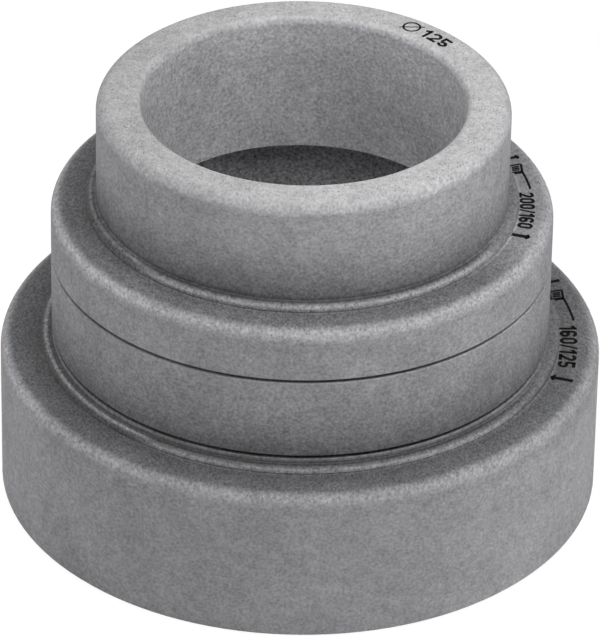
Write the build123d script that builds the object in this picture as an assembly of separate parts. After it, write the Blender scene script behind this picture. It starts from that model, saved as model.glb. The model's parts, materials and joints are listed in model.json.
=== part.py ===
from build123d import *

import os

# A stepped duct reducer moulded in one piece from light grey foam. Three
# round tiers stand on one axis, the widest at the bottom. Each tier holds
# the bore of one duct size, and the foam wall round every bore is equally
# thick. Two fine grooves show where the body is cut when one duct size is
# not needed. Millimetres, axis on Z, underside at z = 0.

# Bores of the three duct sizes and the foam wall round them
SMALL_BORE = 125.0
MIDDLE_BORE = 160.0
LARGE_BORE = 200.0
WALL = 17.0

# Heights from the underside
OVERALL_HEIGHT = 168.5
UPPER_SHOULDER = 124.3
LOWER_SHOULDER = 63.5
ROOF_THICKNESS = 14.0

# Raised foot rings at the base of the two upper tiers
UPPER_RING_WIDTH = 4.3
UPPER_RING_HEIGHT = 2.9
UPPER_RING_RADIUS = 2.5
LOWER_RING_WIDTH = 4.4
LOWER_RING_HEIGHT = 2.2
LOWER_RING_RADIUS = 1.9

# Cutting guides, as grooves in the side of the middle tier
GUIDE_WIDTH = 1.6
GUIDE_DEPTH = 2.0
GUIDE_LIP = 0.3
OPENING_GUIDE_HEIGHT = 102.1
PARTING_GUIDE_HEIGHT = 68.4

# Rounded edges
RIM_OUTER_RADIUS = 5.0
RIM_INNER_RADIUS = 3.0
SHOULDER_RADIUS = 5.8

# Bevelled edges inside and underneath
STEP_BEVEL = 0.6
MOUTH_BEVEL = 3.0
UNDERSIDE_BEVEL = 1.0

# Sizes that follow from the ones above
SMALL_INNER = SMALL_BORE / 2
MIDDLE_INNER = MIDDLE_BORE / 2
LARGE_INNER = LARGE_BORE / 2
SMALL_OUTER = SMALL_INNER + WALL
MIDDLE_OUTER = MIDDLE_INNER + WALL
LARGE_OUTER = LARGE_INNER + WALL
SMALL_STEP = UPPER_SHOULDER - ROOF_THICKNESS
MIDDLE_STEP = LOWER_SHOULDER - ROOF_THICKNESS


def sharp(corner):
    """A corner of the section that stays as it is."""
    return corner, None, None


def rounded(corner, radius):
    """A corner of the section that gets a round edge."""
    return corner, fillet, radius


def bevelled(corner, length):
    """A corner of the section that gets a bevel."""
    return corner, chamfer, length


def foot_ring(radius, shoulder, width, height, edge):
    """The raised ring at the foot of a tier, from the shoulder up to the tier's side."""
    return [
        sharp((radius + width, shoulder)),
        rounded((radius + width, shoulder + height), edge),
        sharp((radius, shoulder + height)),
    ]


def guide_groove(radius, height):
    """A cutting guide in a tier's side, its lower lip worn off a little."""
    floor = radius - GUIDE_DEPTH
    low = height - GUIDE_WIDTH / 2
    high = height + GUIDE_WIDTH / 2
    return [
        bevelled((radius, low), GUIDE_LIP),
        sharp((floor, low)),
        sharp((floor, high)),
        sharp((radius, high)),
    ]


def outside():
    """Corners of the outside, from the underside up to the rim."""
    return [
        bevelled((LARGE_OUTER, 0), UNDERSIDE_BEVEL),
        rounded((LARGE_OUTER, LOWER_SHOULDER), SHOULDER_RADIUS),
        *foot_ring(MIDDLE_OUTER, LOWER_SHOULDER, LOWER_RING_WIDTH, LOWER_RING_HEIGHT, LOWER_RING_RADIUS),
        *guide_groove(MIDDLE_OUTER, PARTING_GUIDE_HEIGHT),
        *guide_groove(MIDDLE_OUTER, OPENING_GUIDE_HEIGHT),
        rounded((MIDDLE_OUTER, UPPER_SHOULDER), SHOULDER_RADIUS),
        *foot_ring(SMALL_OUTER, UPPER_SHOULDER, UPPER_RING_WIDTH, UPPER_RING_HEIGHT, UPPER_RING_RADIUS),
        rounded((SMALL_OUTER, OVERALL_HEIGHT), RIM_OUTER_RADIUS),
    ]


def stepped_bore():
    """Corners of the duct's way through, from the rim down. The stops for the duct ends are square."""
    return [
        rounded((SMALL_INNER, OVERALL_HEIGHT), RIM_INNER_RADIUS),
        bevelled((SMALL_INNER, SMALL_STEP), STEP_BEVEL),
        sharp((MIDDLE_INNER, SMALL_STEP)),
        bevelled((MIDDLE_INNER, MIDDLE_STEP), STEP_BEVEL),
        sharp((LARGE_INNER, MIDDLE_STEP)),
        bevelled((LARGE_INNER, 0), MOUTH_BEVEL),
    ]


def half_section(corners):
    """The half section of the wall, with every corner given its edge."""
    points = [Vector(r, 0, z) for (r, z), _, _ in corners]
    section = make_face(Polyline(points, close=True))
    for point, (_, edge, size) in zip(points, corners):
        if edge is not None:
            corner = section.vertices().sort_by_distance(point)[0]
            section = edge(corner, size)
    return section


def reducer_body():
    """The foam body, turned from one half section."""
    body = revolve(half_section(outside() + stepped_bore()), axis=Axis.Z)
    body.label = "reducer_body"
    return body


def main():
    os.makedirs("parts", exist_ok=True)
    body = reducer_body()
    export_step(body, "parts/reducer_body.step")


if __name__ == "__main__":
    main()
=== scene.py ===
"""A stepped duct reducer of grey moulded foam, with its printed sizes, on a pale floor."""

import json
import math

import bmesh
import bpy
from mathutils import Matrix, Vector


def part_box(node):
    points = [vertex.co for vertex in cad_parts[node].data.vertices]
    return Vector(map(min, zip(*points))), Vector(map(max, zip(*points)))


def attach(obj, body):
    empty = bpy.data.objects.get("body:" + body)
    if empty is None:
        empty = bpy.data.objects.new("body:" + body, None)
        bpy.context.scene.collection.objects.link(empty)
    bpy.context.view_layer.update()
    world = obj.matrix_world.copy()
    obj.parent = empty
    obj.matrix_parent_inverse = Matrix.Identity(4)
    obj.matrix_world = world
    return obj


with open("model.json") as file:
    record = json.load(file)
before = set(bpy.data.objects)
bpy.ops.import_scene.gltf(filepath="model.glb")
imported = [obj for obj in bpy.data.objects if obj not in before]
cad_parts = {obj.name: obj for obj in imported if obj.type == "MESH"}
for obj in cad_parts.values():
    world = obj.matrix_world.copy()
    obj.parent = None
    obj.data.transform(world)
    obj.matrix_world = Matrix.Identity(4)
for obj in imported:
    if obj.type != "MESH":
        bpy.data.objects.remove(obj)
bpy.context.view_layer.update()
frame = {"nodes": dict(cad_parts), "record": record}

MM = 0.001

# The body's own sizes. The radii and the rim come from the frame, the rest is as the part was drawn
body = frame["nodes"]["reducer_body"]
_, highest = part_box("reducer_body")
bores = {
    mount["name"]: mount["dims"]["r_mm"] * MM
    for mount in frame["record"]["mounts"]
    if mount["kind"] == "bore"
}
wall = highest.x - bores["large_bore"]
SMALL_INNER = bores["small_bore"]
SMALL_OUTER = SMALL_INNER + wall
MIDDLE_OUTER = bores["middle_bore"] + wall
LARGE_OUTER = highest.x
RIM = highest.z
UPPER_SHOULDER = 124.3 * MM
LOWER_SHOULDER = 63.5 * MM
UPPER_RING_WIDTH = 4.3 * MM
LOWER_RING_WIDTH = 4.4 * MM
OPENING_GUIDE = 102.1 * MM
PARTING_GUIDE = 68.4 * MM

# The view
CAMERA_DISTANCE = 2.3957
CAMERA_ELEVATION = math.radians(32.208)
CAMERA_ROLL = math.radians(0.956)
CAMERA_LENS = 347.4
CAMERA_CLIP = 50
LOOK_AT = Vector((-0.137, 0, 69.352)) * MM

# Most lamps stand this far off and are this wide
LAMP_DISTANCE = 1.6
LAMP_SIZE = 0.8

# The floor lies just under the body, so that it has no plane in common with the underside
FLOOR_HALF = 8
FLOOR_GAP = 0.05 * MM
FLOOR_COLOUR = 0.8
FLOOR_GLOW = 1.1
FLOOR_GLOW_SHARE = 0.85

# The foam's grey, and its blue against red and green: the foam is a little cool, the rim isn't
FOAM_COLOUR = 0.392
FOAM_BLUE = 1.033
RIM_BLUE = 1.005
FOAM_SPECULAR = 0.2
FOAM_ROUGHNESS = 0.88
FOAM_ROUGHNESS_CHANGE = 0.2
BUMP_STRENGTH = 0.25
BUMP_DISTANCE = 0.2 * MM

# The foam's skin. Scales are per metre; grains are drawn out from front to back
SKIN = {"Speckle_Scale": 900.0, "Fine_Scale": 1500.0, "Pit_Scale": 900.0, "Pit_Share": 0.24}
GRAIN_STRETCH = (1, 0.65, 1)
MOTTLE_SCALE = 230.0
CLOUD_SCALE = 42.0
PIT_FLOOR = 0.12
PIT_EDGE = 0.42
PIT_RELIEF = 0.8

# Zones of the body. A zone is where all of its gates are open. A gate opens softly from its first
# place to its second one, measured up, to the right, or out from the axis. A third number is what
# still gets through a shut gate
UNDER_RIM = ("up", RIM - MM, RIM - 3 * MM)
UNDER_SHOULDER = ("up", 56 * MM, 50 * MM)
ZONES = {
    "rim": [("up", RIM - 1.5 * MM, RIM - 0.3 * MM)],
    "bore": [("out", 64 * MM, 63 * MM), UNDER_RIM],
    "below_ledge": [("out", 82 * MM, 81 * MM), ("up", 110.5 * MM, 109.5 * MM)],
    "top_side": [
        ("up", 134 * MM, 154 * MM), UNDER_RIM, ("out", 76 * MM, 78 * MM),
        ("right", 50 * MM, 0.0), ("right", -80 * MM, -60 * MM, 0.3),
    ],
    "low_tier": [UNDER_SHOULDER],
    "low_left": [
        ("up", LOWER_SHOULDER + 3 * MM, LOWER_SHOULDER + MM),
        ("right", -108 * MM, -80 * MM), ("right", 20 * MM, -50 * MM),
    ],
    "low_right": [UNDER_SHOULDER, ("right", 35 * MM, 105 * MM)],
}

# The same kind of pairs for the far left and for the right half
FAR_LEFT = (-52 * MM, -66 * MM)
RIGHT_HALF = (0.0, 20 * MM)

# Painted light and shade: what the zones do to the tone, and the painted highlight that the far
# left gives the edges
TOP_SIDE_TONE = 1.11
LOW_LEFT_TONE = 0.9
LOW_RIGHT_TONE = 1.2
LEFT_EDGE_TONE = 1.2

# Painted light: the bore is paler near the top and at the right
BORE_TONE = 1.14
BORE_TOP_TONE = 1.29
BORE_TOP = (RIM - 20 * MM, RIM - 6 * MM)
BORE_RIGHT_TONE = 1.16
BORE_RIGHT = (10 * MM, 50 * MM)

# Painted light: the rim gets paler towards the back and a little towards the right
RIM_TONE = 0.985
RIM_BACK_TONE = 1.15
RIM_BACK = (15 * MM, 70 * MM)
RIM_BACK_TURN = 0.35

# Depth of the speckle, and what is added to it where each mask is 1
SPECKLE_DEPTH = 1.3
SIDE_SPECKLE = 0.6
BORE_SPECKLE = 0.35
LEDGE_SPECKLE = 1.6
RIM_SPECKLE = -0.6
FLAT_SPECKLE = 0.35
EDGE_SPECKLE = 0.4
LOW_SPECKLE = -0.2
RIM_FINE = 0.7
FLAT_FINE = 1.5
CLOUD_DEPTH = 0.45

# Open pits: their tone, and how far they show anywhere and more where the foam is worn
PIT_TONE = 0.56
PIT_SHOWS = 0.2
PIT_SHOWS_WORN = 0.8

# Painted shade on the flat of a shoulder. Pairs are the two ends of a soft step
FLAT_TONE = 0.21
FLAT_FROM_EDGE = (0.8 * MM, 5 * MM)
FLAT_FROM_SIDE = (0.3 * MM, 1.3 * MM)
FLAT_TOP = (3.7 * MM, 3.1 * MM)
FLAT_DEEPENS = (4 * MM, 13 * MM)
FLAT_OUTER_SHARE = 0.91
FLAT_LEFT_SHARE = 0.93
FOOT_RIGHT = (-62 * MM, -22 * MM)

# The share of that painted shade on the foot ring, and the soft step at the ring's outside
RING_SHARE = 0.8
LEFT_RING_SHARE = 0.94
RIGHT_RING_SHARE = 0.70
RING_END = (0.0, -0.6 * MM)

# Painted shade that fades up the side of the tier above, by a power of the height that is left
SIDE_TONE = 0.40
SIDE_FADE = 1.7
SIDE_FROM_FLAT = (0.5 * MM, 1.5 * MM)
SIDE_NOT_BORE = (-8 * MM, -6 * MM)
SIDE_END = 0.5 * MM
SIDE_END_FADE = 3.5 * MM
SIDE_END_RIGHT_FADE = 1.2 * MM

# Feet of the two upper tiers: side, shoulder, edge, ring width, rise, strength, share at the right
TIER_FEET = (
    (SMALL_OUTER, UPPER_SHOULDER, MIDDLE_OUTER, UPPER_RING_WIDTH, 30 * MM, 0.93, 0.62),
    (MIDDLE_OUTER, LOWER_SHOULDER, LARGE_OUTER, LOWER_RING_WIDTH, 42 * MM, 0.95, 0.9),
)

# Circles round the axis: radius, height, reach
UPPER_EDGE = (MIDDLE_OUTER - 1.4 * MM, UPPER_SHOULDER - 2.0 * MM, 3.2 * MM)
LOWER_EDGE = (LARGE_OUTER - 1.4 * MM, LOWER_SHOULDER - 2.0 * MM, 3.2 * MM)

# Circles on which the tone changes, with the tone: painted shade on the lower edge, painted
# highlights on both sides of the rim, painted shade inside the two guide grooves and a painted
# highlight on the lip of the lower one
CIRCLE_TONES = (
    (*LOWER_EDGE, 0.91),
    (SMALL_OUTER - 0.4 * MM, RIM - 3.2 * MM, 2.5 * MM, 1.05),
    (SMALL_INNER + 0.9 * MM, RIM - 0.9 * MM, 2.5 * MM, 1.08),
    (MIDDLE_OUTER - 1.5 * MM, OPENING_GUIDE, 1.6 * MM, 0.42),
    (MIDDLE_OUTER - 1.5 * MM, PARTING_GUIDE, 1.6 * MM, 0.42),
    (MIDDLE_OUTER, PARTING_GUIDE - 1.65 * MM, 1.3 * MM, 2.0),
)

# Foot rings: shoulder, where the painted highlight line starts to fade at the right, then radius,
# height, reach and tone of that line at the front and at the left, of the painted shade in the
# corner and of the painted light in the crease
FOOT_RINGS = (
    (
        UPPER_SHOULDER, -58 * MM,
        (SMALL_OUTER + 3.9 * MM, UPPER_SHOULDER + 1.2 * MM, 2.4 * MM, 2.45),
        (SMALL_OUTER + 1.6 * MM, UPPER_SHOULDER + 2.9 * MM, 1.9 * MM, 3.2),
        (SMALL_OUTER + 0.8 * MM, UPPER_SHOULDER + 2.9 * MM, 2.2 * MM, 0.52),
        (SMALL_OUTER + 4.4 * MM, UPPER_SHOULDER, 1.2 * MM, 1.45),
    ),
    (
        LOWER_SHOULDER, -74 * MM,
        (MIDDLE_OUTER + 4.5 * MM, LOWER_SHOULDER + 0.4 * MM, 2.4 * MM, 3.3),
        (MIDDLE_OUTER + 2.0 * MM, LOWER_SHOULDER + 2.2 * MM, 1.8 * MM, 4.3),
        (MIDDLE_OUTER + 0.6 * MM, LOWER_SHOULDER + 2.2 * MM, 2.2 * MM, 0.55),
        (MIDDLE_OUTER + 4.6 * MM, LOWER_SHOULDER, 1.3 * MM, 1.4),
    ),
)
# How the painted highlight line fades at the right and over the flat, and the painted light in the
# crease at the right
LINE_FADE = 30 * MM
LINE_RIGHT_SHARE = 0.05
LINE_FROM_FLAT = (0.1 * MM, 0.6 * MM)
RIGHT_CREASE_TONE = 1.15

# Ink
INK_TONE = 0.005
INK_SPECKLE = 0.03
INK_SPECULAR = 0.05
INK_ROUGHNESS = 0.7
INK_ROUGHNESS_CHANGE = 0.4
INK_THICKNESS = 0.04 * MM
INK_LIFT = 0.01 * MM

# Strokes: straight ones are cut up so that they bend, round ones turn in steps of some degrees
LONGEST_PIECE = 2 * MM
ARC_STEP = 10
FEWEST_STEPS = 6
FULL_TURN = 360

# Narrow figures: shares of a figure's width and height, of the stroke in the slash and of the
# bend in the two's joint. Bends are a start and a sweep in degrees
WAIST = 0.6
SLASH_WIDTH = 0.55
SLASH_START = 0.2
SLASH_TOP = 0.5
SLASH_STROKE = 0.75
ONE_WIDTH = 0.68
ONE_STEM = 0.5
ONE_FLAG = (0.08, 0.72)
TWO_BEND = (165, -190)
TWO_JOINT = (0.93, -0.38)
TWO_FOOT = 0.6
FIVE_STEM = 0.5
FIVE_BEND = (150, -150)
FIVE_TAIL = (0, -160)
SIX_HOOK = (180, -165)
UPPER_BEND = (0, 180)
LOWER_BEND = (180, 180)

# Arrow heads as shares of the arrow's length, and the stroke of their barbs against its own
HEAD_WIDTH = 0.22
HEAD_LENGTH = 0.17
BARB_STROKE = 0.5

# The cutter: how far its handle leans, its grip bars and its collar as shares of the handle
HANDLE_LEAN = 0.28
GRIP_BARS = (0.27, 0.5, 0.73)
GRIP_FROM = 0.2
GRIP_TO = 0.82
COLLAR_FROM = 0.3
COLLAR = 1.4 * MM
FINE_STROKE = 1.0 * MM

# Where a line of marks that leans crosses its own radius
LEAN_FROM = math.radians(-4.5)

# Lines of figures: name, words, figure width and height, gap and stroke in millimetres, radius in
# millimetres and first angle in degrees, height, lean, and the share of the bend taken out
SIZE_MARKS = (
    ("rim_size", "125", (4.5, 6.2, 0.75, 1.25), 66.9, 49.0, RIM, 0.0, 0.0),
    (
        "upper_shoulder_sizes", "200/160", (3.75, 6.1, 0.4, 1.3),
        83.8, 4.3, UPPER_SHOULDER, 0.04, 0.15,
    ),
    (
        "lower_shoulder_sizes", "160/125", (4.3, 7.0, 0.7, 1.38),
        101.5, 3.8, LOWER_SHOULDER, 0.03, 0.4,
    ),
)

# The diameter sign on the rim: a ring with a bar from one corner to the other, placed by radius,
# angle and height
SIGN_RADIUS = 3.3 * MM
SIGN_STROKE = 0.85 * MM
SIGN_CORNER = (4.1 * MM, 3.0 * MM)
SIGN_BAR = 0.6 * MM
SIGN_PLACE = (70.2 * MM, 53.75, RIM)

# Arrows: name, radius in millimetres, angle, height, length and stroke in millimetres
ARROWS = (
    ("upper_first_arrow", 84.1, 21.8, UPPER_SHOULDER, 6.4, 1.7),
    ("upper_last_arrow", 83.9, -17.1, UPPER_SHOULDER, 7.0, 2.0),
    ("lower_first_arrow", 110.2, 21.6, LOWER_SHOULDER, -8.2, 1.9),
    ("lower_last_arrow", 110.8, -17.4, LOWER_SHOULDER, -8.8, 2.1),
)

# Cutters: name, radius in millimetres, angle, height, the handle's length and depth and the
# blade's length in millimetres, lean
CUTTERS = (
    ("upper_cutter_mark", 84.3, 18.2, UPPER_SHOULDER, 5.2, 4.9, 12.8, 0.04),
    ("lower_cutter_mark", 103.4, 17.9, LOWER_SHOULDER, 5.4, 5.1, 16.6, 0.04),
)


# Helpers for meshes and shader trees

def object_from(bm, name):
    """Turns a bmesh into an object that sits at the origin."""
    mesh = bpy.data.meshes.new(name)
    bm.to_mesh(mesh)
    bm.free()
    made = bpy.data.objects.new(name, mesh)
    bpy.context.collection.objects.link(made)
    return made


def new_material(name):
    """An empty node material with its Principled shader."""
    material = bpy.data.materials.new(name)
    material.use_nodes = True
    return material, material.node_tree, material.node_tree.nodes["Principled BSDF"]


def put(tree, value, socket):
    """Sets a socket to a number or links it to another node's output."""
    if isinstance(value, bpy.types.NodeSocket):
        tree.links.new(value, socket)
    else:
        socket.default_value = value


def math_node(tree, operation, *values, clamp=False):
    """One sum on numbers or on other nodes' outputs."""
    node = tree.nodes.new("ShaderNodeMath")
    node.operation = operation
    node.use_clamp = clamp
    for value, socket in zip(values, node.inputs):
        put(tree, value, socket)
    return node.outputs["Value"]


def ramp(tree, value, from_low, from_high, to_low=0.0, to_high=1.0, smooth=True):
    """Maps a value from one range to another, held at both ends."""
    node = tree.nodes.new("ShaderNodeMapRange")
    node.interpolation_type = "SMOOTHSTEP" if smooth else "LINEAR"
    put(tree, value, node.inputs["Value"])
    put(tree, from_low, node.inputs["From Min"])
    put(tree, from_high, node.inputs["From Max"])
    put(tree, to_low, node.inputs["To Min"])
    put(tree, to_high, node.inputs["To Max"])
    return node.outputs["Result"]


def noise(tree, vector, scale, detail, roughness):
    """Soft noise between 0 and 1, half of it on either side of 0.5."""
    node = tree.nodes.new("ShaderNodeTexNoise")
    put(tree, vector, node.inputs["Vector"])
    put(tree, scale, node.inputs["Scale"])
    node.inputs["Detail"].default_value = detail
    node.inputs["Roughness"].default_value = roughness
    return node.outputs["Fac"]


def product(tree, *factors):
    """Multiplies several masks or tones."""
    total = factors[0]
    for factor in factors[1:]:
        total = math_node(tree, "MULTIPLY", total, factor)
    return total


def highest_of(tree, *masks):
    """The strongest of several masks at each place."""
    top = masks[0]
    for mask in masks[1:]:
        top = math_node(tree, "MAXIMUM", top, mask)
    return top


def shade_by(tree, mask, tone):
    """A factor of 1 where the mask is 0, and of the tone where it is 1."""
    return ramp(tree, mask, 0.0, 1.0, 1.0, tone, smooth=False)


def new_group(name, vectors, numbers, outputs):
    """A shader group with named sockets. Returns its tree, its inputs and its outputs."""
    group = bpy.data.node_groups.new(name, "ShaderNodeTree")
    for socket in vectors:
        group.interface.new_socket(socket, in_out="INPUT", socket_type="NodeSocketVector")
    for socket in numbers:
        group.interface.new_socket(socket, in_out="INPUT", socket_type="NodeSocketFloat")
    for socket in outputs:
        group.interface.new_socket(socket, in_out="OUTPUT", socket_type="NodeSocketFloat")
    start = group.nodes.new("NodeGroupInput")
    end = group.nodes.new("NodeGroupOutput")
    return group, start.outputs, end.inputs


def use_group(tree, group, **values):
    """Places a group in a material, with its own values."""
    node = tree.nodes.new("ShaderNodeGroup")
    node.node_tree = group
    for name, value in values.items():
        put(tree, value, node.inputs[name.replace("_", " ")])
    return node.outputs


# Camera, floor and light

def make_camera():
    """Looks down on the front from a long way off, as a product photograph does."""
    camera = bpy.data.objects.new("camera", bpy.data.cameras.new("camera"))
    camera.data.lens = CAMERA_LENS
    camera.data.clip_end = CAMERA_CLIP
    away = Vector((0, -math.cos(CAMERA_ELEVATION), math.sin(CAMERA_ELEVATION)))
    camera.matrix_world = (
        Matrix.Translation(LOOK_AT + away * CAMERA_DISTANCE)
        @ Matrix.Rotation(math.pi / 2 - CAMERA_ELEVATION, 4, "X")
        @ Matrix.Rotation(CAMERA_ROLL, 4, "Z")
    )
    bpy.context.collection.objects.link(camera)
    bpy.context.scene.camera = camera


def seen_directly(tree):
    """A factor of 1 for what the camera sees, straight on, in gloss or through glass."""
    path = tree.nodes.new("ShaderNodeLightPath").outputs
    rays = [path[f"Is {kind} Ray"] for kind in ("Camera", "Glossy", "Transmission")]
    return highest_of(tree, *rays)


def make_floor():
    """A wide pale floor that shows as white and keeps a faint shadow of the object."""
    bm = bmesh.new()
    lowered = Matrix.Translation((0, 0, -FLOOR_GAP))
    bmesh.ops.create_grid(bm, x_segments=1, y_segments=1, size=FLOOR_HALF, matrix=lowered)
    floor = object_from(bm, "floor")
    material, tree, surface = new_material("white_floor")
    surface.inputs["Base Color"].default_value = (*[FLOOR_COLOUR] * 3, 1)
    surface.inputs["Roughness"].default_value = 1
    surface.inputs["Specular IOR Level"].default_value = 0
    glow = tree.nodes.new("ShaderNodeEmission")
    glow.inputs["Strength"].default_value = FLOOR_GLOW
    mix = tree.nodes.new("ShaderNodeMixShader")
    share = math_node(tree, "MULTIPLY", seen_directly(tree), FLOOR_GLOW_SHARE)
    tree.links.new(share, mix.inputs["Fac"])
    tree.links.new(surface.outputs["BSDF"], mix.inputs[1])
    tree.links.new(glow.outputs["Emission"], mix.inputs[2])
    tree.links.new(mix.outputs["Shader"], tree.nodes["Material Output"].inputs["Surface"])
    floor.data.materials.append(material)


def make_world():
    """White where the camera sees past the floor, and no light of its own."""
    world = bpy.data.worlds.new("studio")
    world.use_nodes = True
    tree = world.node_tree
    background = tree.nodes["Background"]
    background.inputs["Color"].default_value = (1, 1, 1, 1)
    tree.links.new(seen_directly(tree), background.inputs["Strength"])
    bpy.context.scene.world = world


def softbox(name, azimuth, elevation, level, distance=LAMP_DISTANCE, size=LAMP_SIZE):
    """A round soft lamp that faces the object.

    At level 1, a white surface square to the lamp shows as white.
    """
    lamp = bpy.data.lights.new(name, "AREA")
    lamp.shape = "DISK"
    lamp.size = size
    lamp.energy = level * (math.pi * distance) ** 2
    a, e = math.radians(azimuth), math.radians(elevation)
    towards = Vector((math.cos(a) * math.cos(e), math.sin(a) * math.cos(e), math.sin(e)))
    facing = towards.to_track_quat("Z", "Y").to_matrix().to_4x4()
    lamp_object = bpy.data.objects.new(name, lamp)
    lamp_object.matrix_world = Matrix.Translation(LOOK_AT + towards * distance) @ facing
    bpy.context.collection.objects.link(lamp_object)


def make_lights():
    """Soft light from above and all round, strongest from close by at the front right."""
    softbox("overhead", 0, 90, 0.376)
    softbox("behind_left", 150, 52, 0.12)
    softbox("left", 190, 15, 0.13)
    softbox("front_left", 240, 52, 0.165)
    softbox("low_front_right", 330, 8, 0.095)
    softbox("near_front", 290, 65, 0.164, distance=0.55, size=0.35)
    softbox("close_front_right", 330, 52, 0.408, distance=0.45, size=0.3)


# Places on the foam

def hypotenuse(tree, first, second):
    """The longest side of a right triangle, from the other two."""
    squares = [math_node(tree, "POWER", side, 2.0) for side in (first, second)]
    return math_node(tree, "SQRT", math_node(tree, "ADD", *squares))


def measures(tree, place):
    """How far right, back and up a place on the object is, and how far out from the axis."""
    split = tree.nodes.new("ShaderNodeSeparateXYZ")
    tree.links.new(place, split.inputs["Vector"])
    right, back, up = (split.outputs[axis] for axis in "XYZ")
    return {"right": right, "back": back, "up": up, "out": hypotenuse(tree, right, back)}


def far_left(tree, at):
    """1 at the far left, 0 elsewhere."""
    return ramp(tree, at["right"], *FAR_LEFT)


def right_side(tree, at, from_back, to_back):
    """1 on the right half behind a line across it, 0 on the left and at the front."""
    return product(
        tree, ramp(tree, at["right"], *RIGHT_HALF), ramp(tree, at["back"], from_back, to_back))


def ring_mask_group():
    """Group: 1 on a circle round the axis, falling to 0 at a reach from it."""
    group, given, result = new_group(
        "ring_mask", ["Vector"], ["Radius", "Height", "Reach"], ["Mask"])
    at = measures(group, given["Vector"])
    across = math_node(group, "SUBTRACT", at["out"], given["Radius"])
    along = math_node(group, "SUBTRACT", at["up"], given["Height"])
    distance = hypotenuse(group, across, along)
    group.links.new(ramp(group, distance, 0.0, given["Reach"], 1.0, 0.0), result["Mask"])
    return group


def tier_foot_group():
    """Group: masks for painted shade, one on the flat of a shoulder and one that fades up the tier
    standing on it.
    """
    group, given, result = new_group(
        "tier_foot", ["Vector"],
        ["Side Radius", "Shoulder", "Edge Radius", "Ring Width", "Rise", "Strength", "Right Share"],
        ["Flat", "Side"])
    at = measures(group, given["Vector"])
    above = math_node(group, "SUBTRACT", at["up"], given["Shoulder"])
    from_side = math_node(group, "SUBTRACT", at["out"], given["Side Radius"])
    from_edge = math_node(group, "SUBTRACT", given["Edge Radius"], at["out"])
    on_right = right_side(group, at, *FOOT_RIGHT)
    at_left = far_left(group, at)

    share = product(
        group, shade_by(group, on_right, given["Right Share"]),
        shade_by(group, at_left, FLAT_LEFT_SHARE))
    ring_share = math_node(
        group, "MULTIPLY_ADD", at_left, LEFT_RING_SHARE - RING_SHARE,
        ramp(group, on_right, 0.0, 1.0, RING_SHARE, RIGHT_RING_SHARE))
    past_ring = math_node(group, "SUBTRACT", from_side, given["Ring Width"])
    on_ring = ramp(group, past_ring, *RING_END)
    share = math_node(
        group, "MULTIPLY_ADD", on_ring, math_node(group, "SUBTRACT", ring_share, share), share)
    flat = product(
        group, ramp(group, from_edge, *FLAT_FROM_EDGE),
        ramp(group, from_edge, *FLAT_DEEPENS, FLAT_OUTER_SHARE, 1.0, smooth=False),
        ramp(group, from_side, *FLAT_FROM_SIDE), ramp(group, above, *FLAT_TOP),
        share, given["Strength"])
    group.links.new(flat, result["Flat"])

    rise = ramp(group, above, 0.0, given["Rise"], 1.0, 0.0, smooth=False)
    end = ramp(group, on_right, 0.0, 1.0, SIDE_END_FADE, SIDE_END_RIGHT_FADE)
    side = product(
        group, math_node(group, "POWER", rise, SIDE_FADE), ramp(group, from_side, *SIDE_NOT_BORE),
        ramp(group, from_side, SIDE_END, end, 1.0, 0.0), ramp(group, above, *SIDE_FROM_FLAT))
    group.links.new(side, result["Side"])
    return group


# Foam

def foam_skin_group():
    """Group: the skin of moulded foam, as two speckles, open pits, soft clouds and their relief."""
    group, given, result = new_group(
        "foam_skin", ["Vector"], ["Speckle Scale", "Fine Scale", "Pit Scale", "Pit Share"],
        ["Speckle", "Fine", "Pits", "Clouds", "Relief"])
    drawn_out = group.nodes.new("ShaderNodeVectorMath")
    drawn_out.operation = "MULTIPLY"
    group.links.new(given["Vector"], drawn_out.inputs[0])
    drawn_out.inputs[1].default_value = GRAIN_STRETCH
    stretched = drawn_out.outputs["Vector"]
    speckle = noise(group, stretched, given["Speckle Scale"], detail=2.0, roughness=0.6)
    fine = noise(group, stretched, given["Fine Scale"], detail=1.0, roughness=0.5)
    mottle = noise(group, given["Vector"], MOTTLE_SCALE, detail=2.0, roughness=0.5)
    cloud = noise(group, given["Vector"], CLOUD_SCALE, detail=3.0, roughness=0.5)
    even_speckle, even_fine, even_mottle, even_cloud = (
        math_node(group, "SUBTRACT", pattern, 0.5) for pattern in (speckle, fine, mottle, cloud))

    pit = group.nodes.new("ShaderNodeTexVoronoi")
    group.links.new(stretched, pit.inputs["Vector"])
    group.links.new(given["Pit Scale"], pit.inputs["Scale"])
    chosen = group.nodes.new("ShaderNodeSeparateColor")
    group.links.new(pit.outputs["Color"], chosen.inputs["Color"])
    some = math_node(group, "LESS_THAN", chosen.outputs["Red"], given["Pit Share"])
    deep = ramp(group, pit.outputs["Distance"], PIT_FLOOR, PIT_EDGE, 1.0, 0.0)
    pits = math_node(group, "MULTIPLY", some, deep)
    sunk = math_node(group, "MULTIPLY", pits, PIT_RELIEF)

    group.links.new(even_speckle, result["Speckle"])
    group.links.new(even_fine, result["Fine"])
    group.links.new(pits, result["Pits"])
    group.links.new(math_node(group, "ADD", even_mottle, even_cloud), result["Clouds"])
    group.links.new(math_node(group, "SUBTRACT", speckle, sunk), result["Relief"])
    return group


def colour_surface(tree, surface, tone, blue):
    """Gives a surface a grey tone, with a blue of its own."""
    grey = tree.nodes.new("ShaderNodeCombineColor")
    tree.links.new(tone, grey.inputs["Red"])
    tree.links.new(tone, grey.inputs["Green"])
    tree.links.new(blue, grey.inputs["Blue"])
    tree.links.new(grey.outputs["Color"], surface.inputs["Base Color"])


def roughen_surface(tree, surface, speckle, roughness, change, specular):
    """Makes a surface matt: its roughness changes with the speckle, and it has a faint shine."""
    rough = math_node(tree, "MULTIPLY_ADD", speckle, change, roughness, clamp=True)
    tree.links.new(rough, surface.inputs["Roughness"])
    surface.inputs["Specular IOR Level"].default_value = specular


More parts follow.
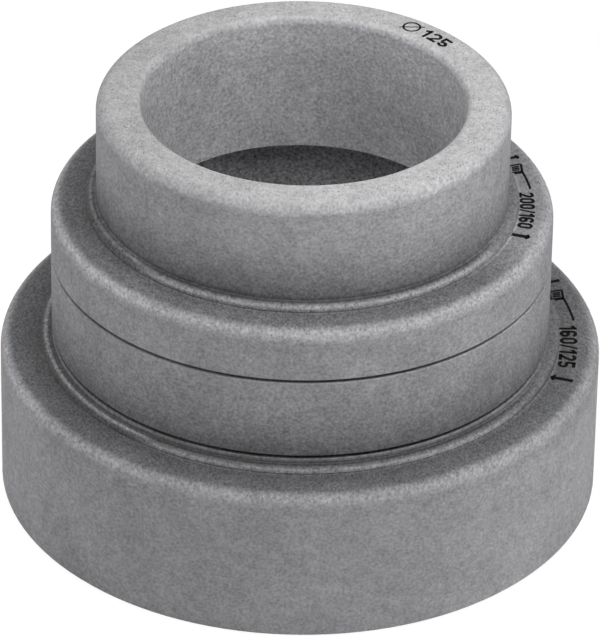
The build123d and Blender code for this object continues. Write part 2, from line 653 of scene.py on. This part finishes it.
def zone_masks(tree, at):
    """A mask for every zone of the body."""
    return {
        name: product(tree, *[ramp(tree, at[way], *gate) for way, *gate in gates])
        for name, gates in ZONES.items()
    }


def foot_ring_tones(tree, at, at_left, ring):
    """Painted light and shade along the foot rings: a highlight line, shade in the corner behind it
    and light in the crease.
    """
    tones = []
    elsewhere = math_node(tree, "SUBTRACT", 1.0, at_left)
    for shoulder, fade, front_line, left_line, corner, crease in FOOT_RINGS:
        on_right = right_side(tree, at, fade, fade + LINE_FADE)
        not_right = shade_by(tree, on_right, LINE_RIGHT_SHARE)
        above = math_node(tree, "SUBTRACT", at["up"], shoulder)
        over_flat = ramp(tree, above, *LINE_FROM_FLAT)
        for (*circle, tone), *masks in (
            ((*crease[:3], RIGHT_CREASE_TONE), on_right),
            (front_line, elsewhere, not_right, over_flat),
            (left_line, at_left, over_flat),
            (corner, not_right),
            (crease, elsewhere),
        ):
            tones.append(shade_by(tree, product(tree, ring(*circle), *masks), tone))
    return tones


def foam_material(skin, ring_mask, tier_foot):
    """Matt grey foam: speckled, with more pits and a painted highlight on its edges, and painted
    shade on and above the shoulders.
    """
    material, tree, surface = new_material("moulded_foam")
    place = tree.nodes.new("ShaderNodeTexCoord").outputs["Object"]
    grain = use_group(tree, skin, Vector=place, **SKIN)

    def ring(radius, height, reach):
        """1 on a circle round the axis, 0 away from it."""
        circle = use_group(
            tree, ring_mask, Vector=place, Radius=radius, Height=height, Reach=reach)
        return circle["Mask"]

    at = measures(tree, place)
    at_left = far_left(tree, at)
    zones = zone_masks(tree, at)
    feet = [
        use_group(
            tree, tier_foot, Vector=place, Side_Radius=side, Shoulder=shoulder, Edge_Radius=edge,
            Ring_Width=width, Rise=rise, Strength=strength, Right_Share=share)
        for side, shoulder, edge, width, rise, strength, share in TIER_FEET
    ]
    flats = highest_of(tree, *[foot["Flat"] for foot in feet])
    sides = highest_of(tree, *[foot["Side"] for foot in feet])
    edges = highest_of(tree, ring(*UPPER_EDGE), ring(*LOWER_EDGE))
    worn = highest_of(tree, zones["rim"], edges)

    bore_tone = math_node(
        tree, "MULTIPLY", ramp(tree, at["up"], *BORE_TOP, BORE_TONE, BORE_TOP_TONE),
        ramp(tree, at["right"], *BORE_RIGHT, 1.0, BORE_RIGHT_TONE))
    towards_back = math_node(tree, "MULTIPLY_ADD", at["right"], RIM_BACK_TURN, at["back"])
    rim_tone = ramp(tree, towards_back, *RIM_BACK, RIM_TONE, RIM_TONE * RIM_BACK_TONE)
    # The tone carries painted light and shade: highlights on the rim's sides, the foot rings, their
    # creases and the far left edges; shade in the grooves, the corners, on the shoulders and up the
    # tiers; a paler bore and rim back; and zone tones that follow the lamps
    tone = product(
        tree, FOAM_COLOUR,
        *[shade_by(tree, ring(*circle), change) for *circle, change in CIRCLE_TONES],
        *foot_ring_tones(tree, at, at_left, ring),
        shade_by(tree, flats, FLAT_TONE),
        shade_by(tree, sides, SIDE_TONE),
        shade_by(tree, zones["bore"], bore_tone),
        shade_by(tree, zones["rim"], rim_tone),
        shade_by(tree, zones["top_side"], TOP_SIDE_TONE),
        shade_by(tree, zones["low_left"], LOW_LEFT_TONE),
        shade_by(tree, zones["low_right"], LOW_RIGHT_TONE),
        shade_by(tree, math_node(tree, "MULTIPLY", edges, at_left), LEFT_EDGE_TONE),
    )

    coarse = SPECKLE_DEPTH
    for mask, change in (
        (sides, SIDE_SPECKLE),
        (zones["bore"], BORE_SPECKLE),
        (zones["below_ledge"], LEDGE_SPECKLE),
        (zones["rim"], RIM_SPECKLE),
        (flats, FLAT_SPECKLE),
        (edges, EDGE_SPECKLE),
        (zones["low_tier"], LOW_SPECKLE),
    ):
        coarse = math_node(tree, "MULTIPLY_ADD", mask, change, coarse)
    fine = math_node(
        tree, "ADD", product(tree, zones["rim"], RIM_FINE), product(tree, flats, FLAT_FINE))
    speckle = math_node(tree, "MULTIPLY_ADD", grain["Speckle"], coarse, 1.0)
    speckle = math_node(tree, "MULTIPLY_ADD", grain["Fine"], fine, speckle)
    clouds = math_node(tree, "MULTIPLY_ADD", grain["Clouds"], CLOUD_DEPTH, 1.0)
    shown = math_node(tree, "MULTIPLY_ADD", worn, PIT_SHOWS_WORN, PIT_SHOWS)
    pits = math_node(tree, "MULTIPLY", grain["Pits"], shown)
    tone = product(tree, tone, speckle, clouds, shade_by(tree, pits, PIT_TONE))

    cool = ramp(tree, zones["rim"], 0.0, 1.0, FOAM_BLUE, RIM_BLUE, smooth=False)
    colour_surface(tree, surface, tone, math_node(tree, "MULTIPLY", tone, cool))
    roughen_surface(
        tree, surface, grain["Speckle"], FOAM_ROUGHNESS, FOAM_ROUGHNESS_CHANGE, FOAM_SPECULAR)
    bump = tree.nodes.new("ShaderNodeBump")
    bump.inputs["Strength"].default_value = BUMP_STRENGTH
    bump.inputs["Distance"].default_value = BUMP_DISTANCE
    tree.links.new(grain["Relief"], bump.inputs["Height"])
    tree.links.new(bump.outputs["Normal"], surface.inputs["Normal"])
    return material


# Printed marks

def ink_material(skin):
    """Black ink on foam: the foam's speckle shows through it, a little grey."""
    material, tree, surface = new_material("print_ink")
    place = tree.nodes.new("ShaderNodeTexCoord").outputs["Object"]
    speckle = use_group(tree, skin, Vector=place, **SKIN)["Speckle"]
    tone = math_node(tree, "MULTIPLY_ADD", speckle, INK_SPECKLE, INK_TONE, clamp=True)
    colour_surface(tree, surface, tone, tone)
    roughen_surface(tree, surface, speckle, INK_ROUGHNESS, INK_ROUGHNESS_CHANGE, INK_SPECULAR)
    return material


def bar(bm, start, end, width):
    """A straight stroke from one point to another, cut in short lengths so that it bends well."""
    start, end = Vector((*start, 0)), Vector((*end, 0))
    run = end - start
    pieces = max(1, round(run.length / LONGEST_PIECE))
    turned = run.to_track_quat("X", "Z").to_matrix().to_4x4()
    stretched = Matrix.Diagonal((run.length / 2, width / 2, 1, 1))
    placed = Matrix.Translation((start + end) / 2) @ turned @ stretched
    bmesh.ops.create_grid(bm, x_segments=pieces, y_segments=1, size=1, matrix=placed)


def arc(bm, centre, radius, width, start, sweep):
    """A round stroke, drawn by a short edge that turns through a sweep in degrees."""
    middle = Vector((*centre, 0))
    first = math.radians(start)
    spoke = Vector((math.cos(first), math.sin(first), 0))
    reaches = (radius - width / 2, radius + width / 2)
    ends = [bm.verts.new(middle + spoke * reach) for reach in reaches]
    bmesh.ops.spin(
        bm, geom=[*ends, bm.edges.new(ends)], cent=middle, axis=(0, 0, 1),
        angle=math.radians(sweep), steps=max(FEWEST_STEPS, round(abs(sweep) / ARC_STEP)),
        use_merge=abs(sweep) == FULL_TURN, use_duplicate=False)


def figure(bm, sign, left, width, height, stroke):
    """Draws a slash or one of the figures 0, 1, 2, 5 and 6, all narrow, and gives its width."""
    half = stroke / 2
    bend = width / 2 - half
    near, far = left + half, left + width - half
    middle = left + width / 2
    low, high = half + bend, height - half - bend
    waist = height * WAIST - half - bend
    if sign == "/":
        start = (left + stroke * SLASH_START, 0)
        bar(bm, start, (left + width * SLASH_TOP, height), stroke * SLASH_STROKE)
        return width * SLASH_WIDTH
    if sign == "1":
        stem = left + width * ONE_STEM
        flag = (left + width * ONE_FLAG[0], height * ONE_FLAG[1])
        bar(bm, (stem, 0), (stem, height), stroke)
        bar(bm, (stem, height - half), flag, stroke)
        return width * ONE_WIDTH
    if sign == "2":
        joint = (middle + bend * TWO_JOINT[0], high + bend * TWO_JOINT[1])
        arc(bm, (middle, high), bend, stroke, *TWO_BEND)
        bar(bm, joint, (near + half * TWO_FOOT, half), stroke)
        bar(bm, (left, half), (left + width, half), stroke)
        return width
    if sign == "5":
        bar(bm, (near - half, height - half), (far, height - half), stroke)
        bar(bm, (near, height), (near, height * FIVE_STEM), stroke)
        arc(bm, (middle, waist), bend, stroke, *FIVE_BEND)
        arc(bm, (middle, low), bend, stroke, *FIVE_TAIL)
    else:
        bar(bm, (near, low), (near, waist if sign == "6" else high), stroke)
        arc(bm, (middle, low), bend, stroke, *LOWER_BEND)
    if sign == "6":
        bar(bm, (near, waist), (near, high), stroke)
        arc(bm, (middle, waist), bend, stroke, *UPPER_BEND)
        arc(bm, (middle, high), bend, stroke, *SIX_HOOK)
    if sign == "0":
        arc(bm, (middle, high), bend, stroke, *UPPER_BEND)
    bar(bm, (far, low), (far, high if sign == "0" else waist), stroke)
    return width


def figures(words, width, height, gap, stroke):
    """A line of narrow figures as a flat mesh, its lower left corner at the origin."""
    bm = bmesh.new()
    left = 0.0
    for sign in words:
        left += figure(bm, sign, left, width, height, stroke) + gap
    return bm


def arrow(length, stroke):
    """A stroke outwards, or inwards where the length is negative, with a short head."""
    bm = bmesh.new()
    bar(bm, (0, 0), (0, length), stroke)
    for side in (-1, 1):
        barb = (side * abs(length) * HEAD_WIDTH, length * (1 - HEAD_LENGTH))
        bar(bm, (0, length), barb, stroke * BARB_STROKE)
    return bm


def diameter_sign():
    """A ring with a slanting bar through it."""
    bm = bmesh.new()
    arc(bm, (0, 0), SIGN_RADIUS, SIGN_STROKE, 0, FULL_TURN)
    x, y = SIGN_CORNER
    bar(bm, (-x, -y), (x, y), SIGN_BAR)
    return bm


def cutter(long, deep, blade):
    """A plain picture of a cutter: a leaning handle with grip bars, a collar and a thin blade."""
    def place(x, y):
        return x, y + (long - x) * HANDLE_LEAN

    bm = bmesh.new()
    corners = [place(0, 0), place(long, 0), place(long, deep), place(0, deep)]
    for start, end in zip(corners, corners[1:] + corners[:1]):
        bar(bm, start, end, FINE_STROKE)
    for share in GRIP_BARS:
        x = long * share
        bar(bm, place(x, deep * GRIP_FROM), place(x, deep * GRIP_TO), FINE_STROKE)
    collar = long + COLLAR / 2
    bar(bm, (collar, deep * COLLAR_FROM), (collar, deep + FINE_STROKE / 2), COLLAR)
    bar(bm, (long, deep), (long + blade, deep), FINE_STROKE)
    return bm


def print_on(bm, name, radius, angle, height, ink, lean=0.0, straight=0.0):
    """Wraps a flat mark round the axis, tops outwards and read clockwise from above.

    Lean lets the line drift outwards as it runs on, and straight takes that share of the bend out.
    """
    bm.normal_update()
    bmesh.ops.reverse_faces(bm, faces=[face for face in bm.faces if face.normal.z < 0])
    bmesh.ops.solidify(bm, geom=bm.faces[:], thickness=INK_THICKNESS)
    lowest = min(vert.co.z for vert in bm.verts)
    middle = max(vert.co.x for vert in bm.verts) / 2
    start = math.radians(angle)
    for vert in bm.verts:
        x, y, z = vert.co
        turn = start - x / radius
        out = radius + y + lean * radius * (LEAN_FROM - turn)
        out += straight * (x - middle) ** 2 / (2 * radius)
        up = height + INK_LIFT + z - lowest
        vert.co = (out * math.cos(turn), out * math.sin(turn), up)
    bmesh.ops.recalc_face_normals(bm, faces=bm.faces)
    mark = object_from(bm, name)
    mark.data.materials.append(ink)
    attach(mark, "root")


def print_marks(ink):
    """The sizes on the rim and on the two shoulders, with arrows and a cutter beside them."""
    for name, words, sizes, radius, angle, height, lean, straight in SIZE_MARKS:
        line = figures(words, *[size * MM for size in sizes])
        print_on(line, name, radius * MM, angle, height, ink, lean, straight)
    print_on(diameter_sign(), "rim_diameter_sign", *SIGN_PLACE, ink)
    for name, radius, angle, height, long, stroke in ARROWS:
        print_on(arrow(long * MM, stroke * MM), name, radius * MM, angle, height, ink)
    for name, radius, angle, height, long, deep, blade, lean in CUTTERS:
        picture = cutter(long * MM, deep * MM, blade * MM)
        print_on(picture, name, radius * MM, angle, height, ink, lean)


make_camera()
make_world()
make_floor()
make_lights()

skin = foam_skin_group()
body.data.materials.clear()
body.data.materials.append(foam_material(skin, ring_mask_group(), tier_foot_group()))
print_marks(ink_material(skin))

bpy.context.scene.view_settings.view_transform = "Standard"
